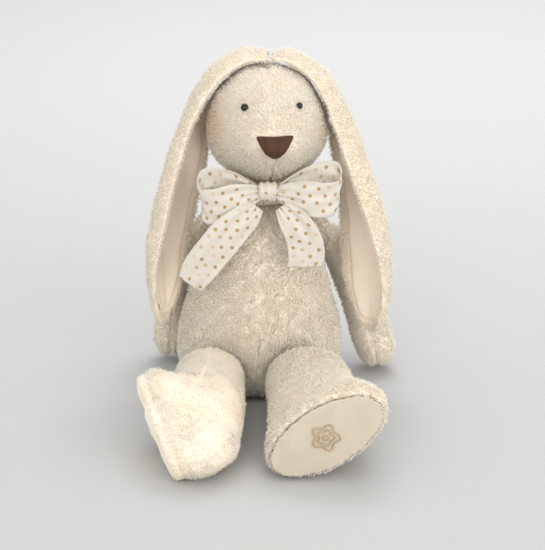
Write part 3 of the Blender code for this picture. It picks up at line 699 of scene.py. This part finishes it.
# ---------------------------------------------------------------- eyes, nose, embroidery
def build_eye(side):
    node = f"eye_{side}"
    middle = middle_of(node)
    out = unit(middle - middle_of("head_filling"))
    radius = 2.7 * MM if side == "right" else 2.4 * MM  # more pile lies over the left one
    bm = bmesh.new()
    bmesh.ops.create_uvsphere(bm, u_segments=40, v_segments=24, radius=radius)
    turn = Vector((0, 0, 1)).rotation_difference(Vector(out)).to_matrix()
    points = []
    for v in bm.verts:
        p = v.co.copy()
        p.z *= 0.86
        points.append(np.array(turn @ p) + middle - out * 0.9 * MM)
    faces = [tuple(v.index for v in f.verts) for f in bm.faces]
    bm.free()
    piece = mesh_object(f"{node}_bead", points, faces, "eye_bead")
    settle(piece, "head", [node])


def tube(path, radii, sides=8):
    """Points and faces of a closed round tube along a path."""
    path = np.asarray(path, float)
    run = unit(np.gradient(path, axis=0))
    side = unit(np.cross(run, (0.13, 0.31, 0.94)))
    up = np.cross(side, run)
    turn = 2 * math.pi * np.arange(sides) / sides
    out = (np.cos(turn)[None, :, None] * side[:, None]
           + np.sin(turn)[None, :, None] * up[:, None])
    rings = path[:, None] + radii[:, None, None] * out
    n = len(path)
    faces = []
    for j in range(n - 1):
        for i in range(sides):
            k = (i + 1) % sides
            faces.append((j * sides + i, j * sides + k, (j + 1) * sides + k, (j + 1) * sides + i))
    faces.append(tuple(range(sides))[::-1])
    faces.append(tuple((n - 1) * sides + i for i in range(sides)))
    return rings.reshape(-1, 3), faces


class Bundle:
    """Threads gathered into one mesh, each with its own shade."""

    def __init__(self, seed):
        self.points, self.faces, self.shades = [], [], []
        self.count = 0
        self.rng = np.random.default_rng(seed)

    def add(self, path, radius, taper=0.35):
        s = np.linspace(0, 1, len(path))
        radii = radius * (taper + (1 - taper) * np.sin(math.pi * s) ** 0.35)
        points, faces = tube(path, radii)
        self.points.append(points)
        self.faces += [tuple(i + self.count for i in f) for f in faces]
        self.shades.append(np.full(len(points), self.rng.uniform(0.0, 1.0)))
        self.count += len(points)

    def piece(self, name, slot):
        made = mesh_object(name, np.concatenate(self.points), self.faces, slot)
        set_attribute(made.data, "strand", np.concatenate(self.shades))
        return made


def build_nose():
    """Satin stitch: upright threads side by side, flat on top and rounded below."""
    tree = node_tree_of("nose")
    low, high = corners("nose")
    middle = (low + high) / 2
    half = (high[0] - low[0]) / 2
    tall = high[2] - low[2]
    bundle = Bundle(81)
    count = 34
    for i in range(count):
        across = (2 * (i + 0.5) / count - 1) * 0.97
        depth = tall * (1 - abs(across) ** 1.7) ** 0.74
        top = high[2] - 1.1 * MM * abs(across) ** 6
        path = []
        for s in np.linspace(0, 1, 16):
            x = middle[0] + across * half * (1 - 0.05 * s)
            z = top - s * depth
            hit = tree.ray_cast(Vector((x, low[1] - 0.05, z)), Vector((0, 1, 0)))[0]
            if hit is None:
                continue
            path.append((x, hit.y + 0.15 * MM - 0.35 * MM * math.sin(math.pi * s), z))
        if len(path) > 3:
            bundle.add(through(path, 18), 0.62 * MM)
    piece = bundle.piece("nose_stitches", "nose_thread")
    settle(piece, "head", ["nose"])


def build_motif():
    """A plain five-petal flower outlined in twisted thread, with a satin-stitched eye."""
    low, high = corners("sole_motif_left")
    middle = np.array([(low[0] + high[0]) / 2, low[1] + 0.3 * MM, (low[2] + high[2]) / 2])
    reach = (high[0] - low[0]) / 2
    bundle = Bundle(91)

    def place(radius, angle):
        return middle + np.array([math.cos(angle), 0, math.sin(angle)]) * radius

    def outline(size, swing, petals, stitches, radius):
        for k in range(stitches):
            path = []
            for s in np.linspace(-0.15, 1.15, 5):
                a = 2 * math.pi * (k + s) / stitches
                lean = 0.35 * MM * (s - 0.5)
                path.append(place(reach * (size + swing * math.cos(petals * a)) + lean, a))
            bundle.add(path, radius)

    outline(0.86, 0.16, 5, 96, 0.50 * MM)
    outline(0.52, 0.10, 5, 60, 0.42 * MM)
    for k in range(9):
        x = (2 * (k + 0.5) / 9 - 1) * reach * 0.2
        h = math.sqrt(max((reach * 0.22) ** 2 - x * x, 0))
        path = [middle + np.array([x, -0.15 * MM, z]) for z in np.linspace(-h, h, 7)]
        bundle.add(path, 0.42 * MM)
    piece = bundle.piece("sole_flower_stitches", "motif_thread")
    settle(piece, "leg_left", ["sole_motif_left"])


# ---------------------------------------------------------------- ribbon
def ribbon(name, body, node, path, half, pleats=0.0, both_ends=False, seed=0, rows=70):
    """A satin strip along a path with half-width vectors, pleated at its start or both ends."""
    cols = 22
    path, half = through(path, rows), through(half, rows)
    run = unit(np.gradient(path, axis=0))
    face = unit(np.cross(run, half))
    long = np.concatenate([[0], np.cumsum(np.linalg.norm(np.diff(path, axis=0), axis=1))])
    w = np.linspace(-1, 1, cols)
    grid = path[:, None] + half[:, None] * w[None, :, None]
    fade = np.exp(-long / PLEAT_FADE)[:, None]
    far = np.exp(-(long[-1] - long) / PLEAT_FADE)[:, None] if both_ends else 0.0
    folds = pleats * (fade + far) * np.cos(math.pi * 3.5 * w + 0.6)[None, :]
    crumple = np.stack([long[:, None] * 0.45 + 0 * w, w * RIBBON_WIDTH / 2 + 0 * long[:, None],
                        np.full((rows, cols), seed * 0.1)], axis=-1).reshape(-1, 3)
    soft = waves(crumple, 11 * MM, seed).reshape(rows, cols) * 0.75 * MM
    grid = grid + face[:, None] * (folds + soft)[:, :, None]
    skins = [grid + face[:, None] * RIBBON_THICK / 2, grid - face[:, None] * RIBBON_THICK / 2]
    n = rows * cols
    faces = []
    for j in range(rows - 1):
        for i in range(cols - 1):
            a, b = j * cols + i, j * cols + i + 1
            c, d = a + cols + 1, a + cols
            faces += [(a, b, c, d), (n + d, n + c, n + b, n + a)]
    rim = [(0, i) for i in range(cols)] + [(j, cols - 1) for j in range(1, rows)]
    rim += [(rows - 1, i) for i in range(cols - 2, -1, -1)]
    rim += [(j, 0) for j in range(rows - 2, 0, -1)]
    ids = [j * cols + i for j, i in rim]
    faces += [(b, a, n + a, n + b) for a, b in zip(ids, ids[1:] + ids[:1])]
    points = np.concatenate([s.reshape(-1, 3) for s in skins])
    piece = mesh_object(name, points, faces, "ribbon_satin")
    layer = piece.data.uv_layers.new(name="cloth")
    u = np.repeat(long / MM + 3.0 * seed, cols)
    v = np.tile(w * RIBBON_WIDTH / 2 / MM, rows)
    uv = np.tile(np.stack([u, v], axis=1), (2, 1))
    index = np.zeros(len(piece.data.loops), int)
    piece.data.loops.foreach_get("vertex_index", index)
    layer.data.foreach_set("uv", uv[index].astype(np.float32).ravel())
    settle(piece, body, [node])


def build_bow():
    """Loops of two fanned leaves each, and the tails that hang below the knot."""
    low, high = corners("ribbon_knot")
    knot = (low + high) / 2
    wide = (high[0] - low[0]) / 2
    # share of the reach; then depth, half the gathered width and fanning up or down, in mm
    shape = [(0, -2.6, 5.5, 0), (0.16, -5.5, 8.5, -1.0), (0.42, -9.0, 12.0, -3.0),
             (0.72, -9.5, 12.5, -5.4), (0.93, -6.5, 12.5, -5.6), (1.0, -1.5, 12.5, -0.5),
             (0.93, 3.0, 12.5, 5.0), (0.72, 4.2, 12.5, 5.6), (0.42, 3.6, 12.0, 3.0),
             (0.16, 3.0, 8.0, 1.0), (0, 2.4, 5.0, 0)]
    for side, reach, rise in (("left", 42.0, 3.0), ("right", 40.0, -3.0)):
        sign = SIDES[side]
        start = knot + (sign * wide * 0.92, 0, 0)
        path = [start + np.array([sign * reach * x, y, rise * x + fan]) * MM
                for x, y, _, fan in shape]
        half = [np.array([sign * 0.12 * h, 0, h]) * MM for _, _, h, _ in shape]
        ribbon(f"ribbon_loop_{side}_satin", "torso", f"ribbon_loop_{side}", path, half,
               pleats=1.1 * MM, both_ends=True, seed=3 if side == "left" else 4, rows=110)
    # middle in mm, then the half-width vector as a share of half the ribbon's width
    tails = {
        "left": [
            ((17, -51.2, 148.5), (0.36, 0, 0.28)),
            ((23, -54, 142), (0.68, -0.04, 0.36)),
            ((29, -55.5, 133), (0.88, -0.08, 0.32)),
            ((33, -56, 123), (1.0, -0.08, 0.16)),
            ((34, -56, 113), (1.0, -0.08, 0.04)),
            ((32.5, -56, 106), (0.92, -0.08, 0.04)),
        ],
        "right": [
            ((-0.5, -51.2, 148.5), (0.36, 0, -0.28)),
            ((-8, -53.5, 141.5), (0.64, 0.04, -0.48)),
            ((-19, -55.5, 131), (0.76, 0.08, -0.64)),
            ((-30, -56.5, 118), (0.80, 0.08, -0.64)),
            ((-40.5, -56.5, 104), (0.76, 0.08, -0.60)),
            ((-47, -56, 93), (0.60, 0.08, -0.48)),
        ],
    }
    for side, rows in tails.items():
        path = [np.array(r[0]) * MM for r in rows]
        half = [np.array(r[1]) * RIBBON_WIDTH / 2 for r in rows]
        ribbon(f"ribbon_tail_{side}_satin", f"tail_{side}", f"ribbon_tail_{side}", path, half,
               pleats=0.8 * MM, seed=6 if side == "left" else 7)


def build_knot():
    """The wrap over the middle of the bow, gathered into upright creases."""
    low, high = corners("ribbon_knot")
    middle, half = (low + high) / 2, (high - low) / 2
    rows, cols = 30, 48
    points = []
    for j in range(rows):
        x = 2 * j / (rows - 1) - 1
        swell = (1 - abs(x) ** 4 * 0.42) * (1 + 0.07 * math.cos(x * 9.5 + 0.5))
        for i in range(cols):
            a = 2 * math.pi * i / cols
            r = swell * (1 + 0.02 * math.sin(3 * a + 4 * x))
            points.append(middle + half * (x, r * math.cos(a), r * math.sin(a)))
    n = len(points)
    points += [middle - half * (0.96, 0, 0), middle + half * (0.96, 0, 0)]
    faces = []
    for j in range(rows - 1):
        for i in range(cols):
            k = (i + 1) % cols
            faces.append((j * cols + i, j * cols + k, (j + 1) * cols + k, (j + 1) * cols + i))
    for i in range(cols):
        k = (i + 1) % cols
        faces.append((k, i, n))
        faces.append(((rows - 1) * cols + i, (rows - 1) * cols + k, n + 1))
    piece = mesh_object("ribbon_knot_satin", points, faces, "ribbon_satin")
    layer = piece.data.uv_layers.new(name="cloth")
    for loop in piece.data.loops:
        p = np.array(piece.data.vertices[loop.vertex_index].co) - middle
        around = math.atan2(p[2], p[1]) * half[2]
        layer.data[loop.index].uv = (around / MM + 2.0, p[0] / MM + 4.0)
    settle(piece, "torso", ["ribbon_knot"])


def build_band():
    """The ribbon round the neck, a little uneven where it is pulled tight."""
    low, high = corners("ribbon_neck_band")
    middle = (low + high) / 2
    radius = (high[0] - low[0]) / 2 - 0.6 * MM
    turns = np.linspace(0, 2 * math.pi, 25) - math.pi / 2
    path = [middle + radius * np.array([math.cos(a), math.sin(a), 0]) for a in turns]
    half = [np.array([0, 0, (high[2] - low[2]) / 2]) for _ in turns]
    ribbon("ribbon_band_satin", "torso", "ribbon_neck_band", path, half, seed=9, rows=120)


# ---------------------------------------------------------------- floor, light, camera
def build_stage():
    white = Look("sweep", 0.9)
    cloud = white.noise(0.8, 2.0)
    white.colour(white.mix(cloud, (0.47, 0.475, 0.48), (0.49, 0.495, 0.50)))
    # the floor runs well past the camera before it curves up
    front, back, bend, top = -4.0, 3.0, 1.2, 5.0
    line = [(front, 0.0), (back - bend, 0.0)]
    line += [(back - bend + bend * math.sin(t), bend - bend * math.cos(t))
             for t in np.linspace(0.1, math.pi / 2, 12)]
    line += [(back, top)]
    points, faces = [], []
    for k, (y, z) in enumerate(line):
        points += [(-5.0, y, z), (5.0, y, z)]
        if k:
            faces.append((2 * k - 2, 2 * k - 1, 2 * k + 1, 2 * k))
    mesh = bpy.data.meshes.new("sweep")
    mesh.from_pydata(points, [], faces)
    mesh.shade_smooth()
    mesh.materials.append(white.material)
    sweep = bpy.data.objects.new("sweep", mesh)
    bpy.context.scene.collection.objects.link(sweep)


def area_light(name, at, toward, size, watts, colour=(1, 1, 1)):
    data = bpy.data.lights.new(name, "AREA")
    data.shape = "DISK"
    data.size = size
    data.energy = watts
    data.color = colour
    made = bpy.data.objects.new(name, data)
    made.location = at
    made.rotation_euler = (Vector(toward) - Vector(at)).to_track_quat("-Z", "Y").to_euler()
    bpy.context.scene.collection.objects.link(made)


def build_light():
    area_light("key", (-0.7, -2.0, 1.0), (0, 0, 0.12), 1.0, 8.0, (1.0, 0.985, 0.955))
    area_light("fill", (1.3, -1.9, 0.75), (0, 0, 0.12), 1.8, 20, (1.0, 0.965, 0.92))
    area_light("top", (0.0, 0.2, 2.0), (0, 0, 0), 1.6, 4)
    area_light("backdrop", (0.2, 1.0, 1.5), (0.2, 1.5, 0.1), 1.4, 21)
    world = bpy.data.worlds.new("studio")
    bpy.context.scene.world = world
    world.use_nodes = True
    shade = world.node_tree.nodes["Background"]
    shade.inputs["Color"].default_value = (1.0, 0.985, 0.96, 1.0)
    shade.inputs["Strength"].default_value = 1.02
    bpy.context.scene.view_settings.view_transform = "Standard"


def build_camera():
    """Straight on from the front, looking down at 20 degrees."""
    rise, far = math.radians(20.0), 1.365
    target = Vector((0.0105, 0.0, 0.0795))
    data = bpy.data.cameras.new("camera")
    data.lens, data.sensor_width = 123.3, 36.0
    made = bpy.data.objects.new("camera", data)
    made.location = target + Vector((0, -math.cos(rise), math.sin(rise))) * far
    made.rotation_euler = (target - made.location).to_track_quat("-Z", "Y").to_euler()
    bpy.context.scene.collection.objects.link(made)
    bpy.context.scene.camera = made


build_camera()
build_stage()
build_light()
build_torso()
build_head()
for each_side in SIDES:
    build_ear(each_side)
    build_arm(each_side)
    build_leg(each_side)
    build_eye(each_side)
build_nose()
build_motif()
build_bow()
build_knot()
build_band()
